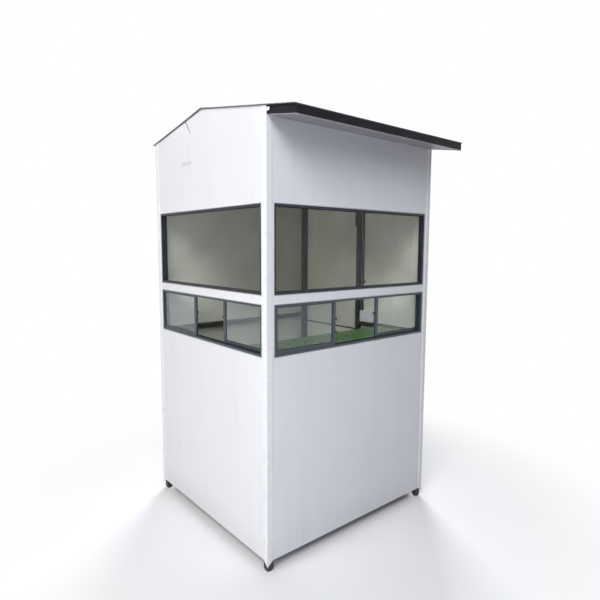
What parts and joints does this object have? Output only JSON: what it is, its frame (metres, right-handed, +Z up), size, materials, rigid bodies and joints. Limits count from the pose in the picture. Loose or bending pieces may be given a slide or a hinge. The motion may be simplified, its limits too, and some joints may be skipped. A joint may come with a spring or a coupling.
{
  "type": "security guard booth",
  "caption": "Small gabled guard cabin in white sheet on a dark tube frame, with sliding and fixed windows, a green counter, a deep front eave and a hinged side door.",
  "frame": {"origin": "on the ground, at the middle of the booth's overall footprint, roof and handle included", "axes": "+X along the ridge from the windowed gable to the door gable, +Y from the front wall with the eave to the back wall, +Z up"},
  "size_m": [1.289, 1.397, 2.3385],
  "materials": {
    "frame_paint": "dark paint, brushed on, slightly glossy",
    "wall_sheet": "white sheet outside, unpainted beige backs inside",
    "trim_white": "bright white folded angle",
    "roof_sheet": "dark grey sheet, dusty",
    "window_metal": "dark anodised",
    "glass": "clear, lightly hazed",
    "floor_board": "sealed board, scuffed",
    "counter_green": "green laminate",
    "switch_white": "moulded white box",
    "black_metal": "black enamel",
    "handle_steel": "satin",
    "foot_rubber": "black rubber over a steel stub"
  },
  "bodies": {
    "booth": {"corner_posts": "frame_paint", "door_post": "frame_paint", "lower_studs": "frame_paint", "base_side_rails": "frame_paint", "base_cross_rails": "frame_paint", "window_rails": "frame_paint", "wall_rails": "frame_paint", "eave_rails": "frame_paint", "front_rafters": "frame_paint", "back_rafters": "frame_paint", "ridge_beam": "frame_paint", "eave_beam": "frame_paint", "feet": "foot_rubber", "front_lower_panel": "wall_sheet", "front_window_surround": "wall_sheet", "front_upper_panel": "wall_sheet", "left_lower_panel": "wall_sheet", "left_window_surround": "wall_sheet", "left_gable_panel": "wall_sheet", "back_panel": "wall_sheet", "right_side_panels": "wall_sheet", "right_gable_panel": "wall_sheet", "corner_trim_front_left": "trim_white", "corner_trim_front_right": "trim_white", "corner_trim_back_left": "trim_white", "corner_trim_back_right": "trim_white", "roof_sheet_front": "roof_sheet", "roof_sheet_back": "roof_sheet", "ridge_cap": "roof_sheet", "soffit_panel": "wall_sheet", "front_upper_frame": "window_metal", "left_upper_frame": "window_metal", "upper_glass": "glass", "front_lower_frame": "window_metal", "left_lower_frame": "window_metal", "front_sashes": "window_metal", "left_sashes": "window_metal", "sash_glass": "glass", "sash_latches": "black_metal", "floor_panel": "floor_board", "counter_top": "counter_green", "counter_brackets": "black_metal", "switch_box": "switch_white", "conduit": "black_metal", "door_stops": "frame_paint", "post_hinge_leaves": "black_metal", "bolt_keeper": "black_metal"},
    "door": {"door_core": "frame_paint", "door_skins": "wall_sheet", "door_handles": "handle_steel", "door_bolt": "black_metal", "door_hinge_leaves": "black_metal"}
  },
  "joints": [
    {"name": "door_hinge", "type": "hinge", "parent": "booth", "child": "door", "pos_m": [0.604, 0.6315, 1], "axis": [0, 0, 1], "range_deg": [0, 95]}
  ]
}
